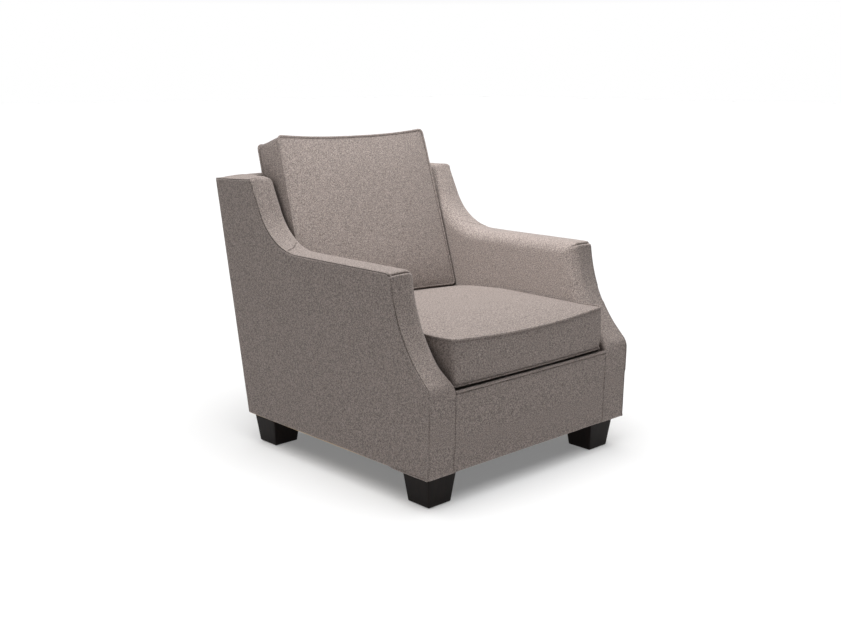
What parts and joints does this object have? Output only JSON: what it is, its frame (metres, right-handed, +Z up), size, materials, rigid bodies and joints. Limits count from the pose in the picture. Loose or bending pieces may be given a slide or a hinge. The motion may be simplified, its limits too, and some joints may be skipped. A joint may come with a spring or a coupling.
{
  "type": "armchair",
  "caption": "Upholstered armchair with scooped track arms, a loose box seat cushion, a loose back cushion and square tapered wood feet.",
  "frame": {"origin": "on the floor, at the centre of the bounding box's base", "axes": "+Z up, -Y the chair's front, +X to the right of someone facing the chair"},
  "size_m": [0.84, 0.97, 0.9613],
  "materials": {
    "upholstery_fabric": "matte",
    "deck_cloth": "matte",
    "black_cloth": "matte",
    "filling": "matte",
    "frame_wood": "matte",
    "plywood": "matte",
    "foot_wood": "satin",
    "glide_plastic": "matte",
    "steel": "satin",
    "zipper_metal": "satin",
    "zipper_tape": "matte"
  },
  "bodies": {
    "chair": {"arm_band_left": "upholstery_fabric", "arm_band_right": "upholstery_fabric", "arm_front_post_left": "frame_wood", "arm_front_post_right": "frame_wood", "arm_top_rail_left": "frame_wood", "arm_top_rail_right": "frame_wood", "back_bottom_rail": "frame_wood", "back_post_left": "frame_wood", "back_post_right": "frame_wood", "back_top_pad": "upholstery_fabric", "back_top_rail": "frame_wood", "back_webbing": "black_cloth", "corner_block_screws": "steel", "corner_blocks": "frame_wood", "deck_pad": "deck_cloth", "dust_cover": "black_cloth", "foot_bolts": "steel", "foot_front_left": "foot_wood", "foot_front_right": "foot_wood", "foot_glides": "glide_plastic", "foot_nuts": "steel", "foot_rear_left": "foot_wood", "foot_rear_right": "foot_wood", "front_border": "upholstery_fabric", "front_border_welt": "upholstery_fabric", "front_rail": "frame_wood", "inner_arm_panel_left": "plywood", "inner_arm_panel_right": "plywood", "inside_arm_pad_left": "upholstery_fabric", "inside_arm_pad_right": "upholstery_fabric", "inside_back_pad": "upholstery_fabric", "outer_arm_panel_left": "plywood", "outer_arm_panel_right": "plywood", "outside_arm_cover_left": "upholstery_fabric", "outside_arm_cover_right": "upholstery_fabric", "outside_back_cover": "upholstery_fabric", "rear_rail": "frame_wood", "seat_spring_1": "steel", "seat_spring_2": "steel", "seat_spring_3": "steel", "seat_spring_4": "steel", "seat_spring_5": "steel", "side_rail_left": "frame_wood", "side_rail_right": "frame_wood", "spring_clips": "steel", "spring_tie_wires": "steel"},
    "seat_cushion": {"seat_cushion_cover": "upholstery_fabric", "seat_cushion_foam": "filling", "seat_cushion_top_welt": "upholstery_fabric", "seat_cushion_bottom_welt": "upholstery_fabric", "seat_cushion_zipper": "zipper_tape"},
    "back_cushion": {"back_cushion_cover": "upholstery_fabric", "back_cushion_filling": "filling", "back_cushion_front_welt": "upholstery_fabric", "back_cushion_rear_welt": "upholstery_fabric", "back_cushion_zipper": "zipper_tape"},
    "seat_zip_slider": {"seat_zipper_slider": "zipper_metal"},
    "back_zip_slider": {"back_zipper_slider": "zipper_metal"}
  },
  "joints": [
    {"name": "seat_cushion_slide", "type": "slide", "parent": "chair", "child": "seat_cushion", "axis": [0, -1, 0], "range_m": [0, 0.7]},
    {"name": "back_cushion_lift", "type": "slide", "parent": "chair", "child": "back_cushion", "axis": [0, 0.294, 0.9558], "range_m": [0, 0.5]},
    {"name": "seat_zipper_run", "type": "slide", "parent": "seat_cushion", "child": "seat_zip_slider", "axis": [1, 0, 0], "range_m": [0, 0.544]},
    {"name": "back_zipper_run", "type": "slide", "parent": "back_cushion", "child": "back_zip_slider", "axis": [1, 0, 0], "range_m": [0, 0.544]}
  ]
}
